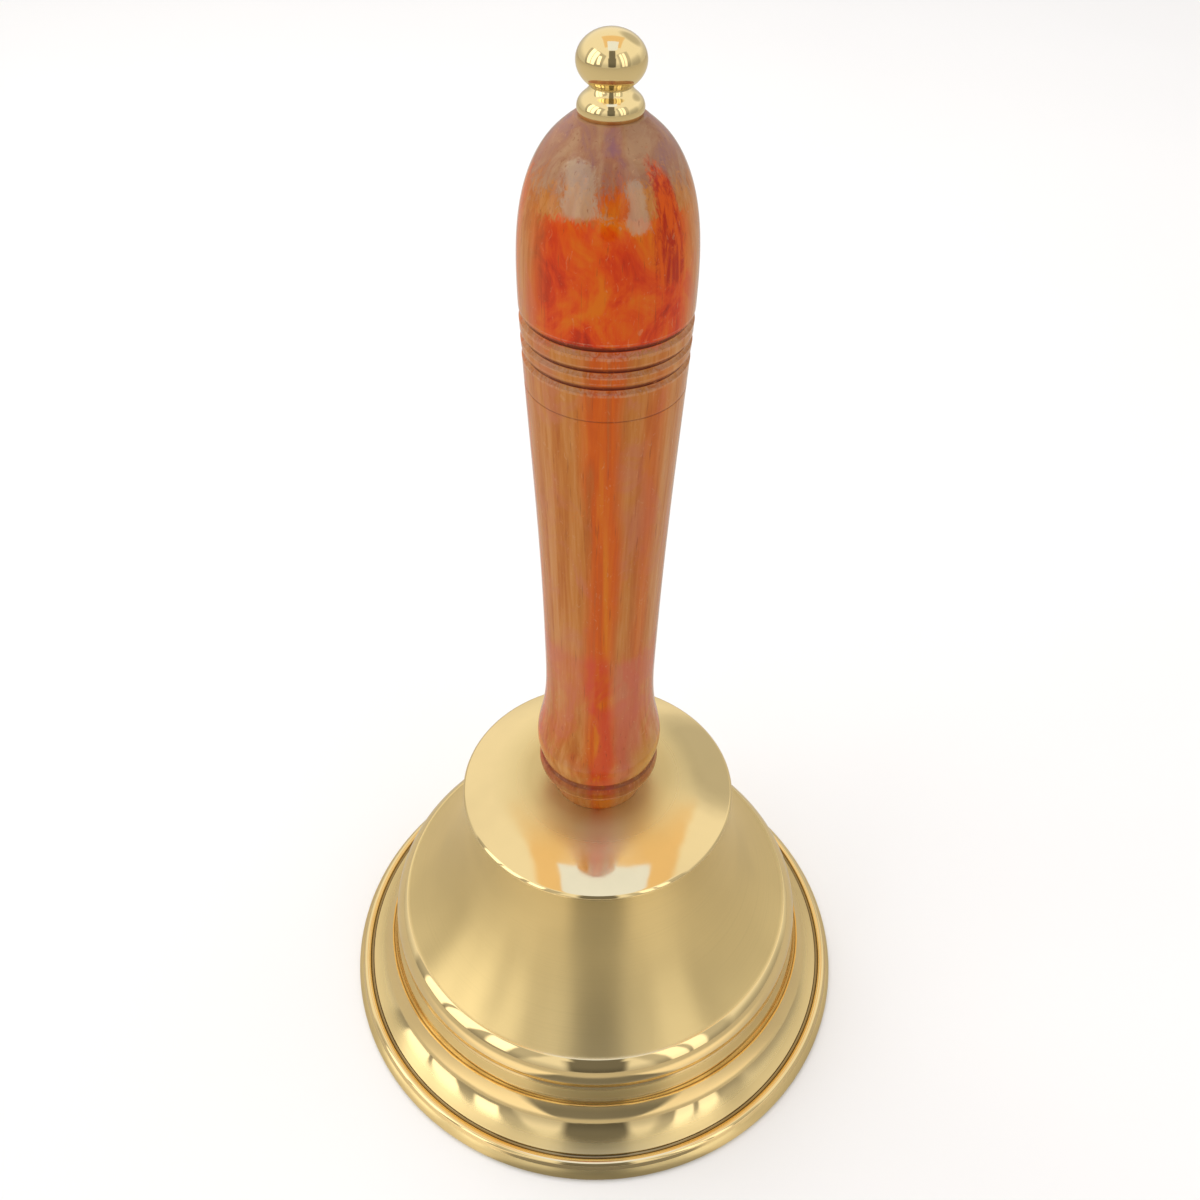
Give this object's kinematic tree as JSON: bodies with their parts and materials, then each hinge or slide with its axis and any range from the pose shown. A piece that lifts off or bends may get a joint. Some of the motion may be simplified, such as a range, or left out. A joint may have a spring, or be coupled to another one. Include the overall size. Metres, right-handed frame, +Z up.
{
  "type": "hand bell",
  "caption": "Turned brass hand bell with a varnished wooden handle, a brass ball finial and a clapper that swings and turns inside.",
  "frame": {"origin": "centre of the mouth, in the plane of the rim that the bell stands on", "axes": "+Z up along the bell's axis to the ball finial; X along the clapper pin at rest"},
  "size_m": [0.127, 0.127, 0.2332],
  "materials": {
    "bell_brass": "satin waist with polished crown, shoulder and lip",
    "polished_brass": "polished",
    "striker_brass": "turned, slightly dull",
    "varnished_wood": "glossy amber varnish",
    "steel": "drawn bar, oiled",
    "zinc_steel": "zinc plated",
    "spacer_plastic": "natural nylon"
  },
  "bodies": {
    "bell": {"bell_shell": "bell_brass", "handle": "varnished_wood", "finial_collar": "polished_brass", "finial_ball": "polished_brass", "tie_rod": "steel", "crown_washer": "zinc_steel", "crown_nut": "zinc_steel", "thrust_washer": "zinc_steel", "yoke_nut": "zinc_steel"},
    "yoke": {"clapper_yoke": "steel", "clapper_pin": "steel", "pin_clip": "zinc_steel", "pin_spacers": "spacer_plastic"},
    "clapper": {"clapper_arm": "steel", "clapper_ball": "striker_brass", "jam_nut": "zinc_steel"}
  },
  "joints": [
    {"name": "yoke_swivel", "type": "hinge", "parent": "bell", "child": "yoke", "pos_m": [0, 0, 0.0618], "axis": [0, 0, 1], "continuous": true},
    {"name": "clapper_swing", "type": "hinge", "parent": "yoke", "child": "clapper", "pos_m": [0, 0, 0.0524], "axis": [1, 0, 0], "range_deg": [-47, 47]}
  ]
}
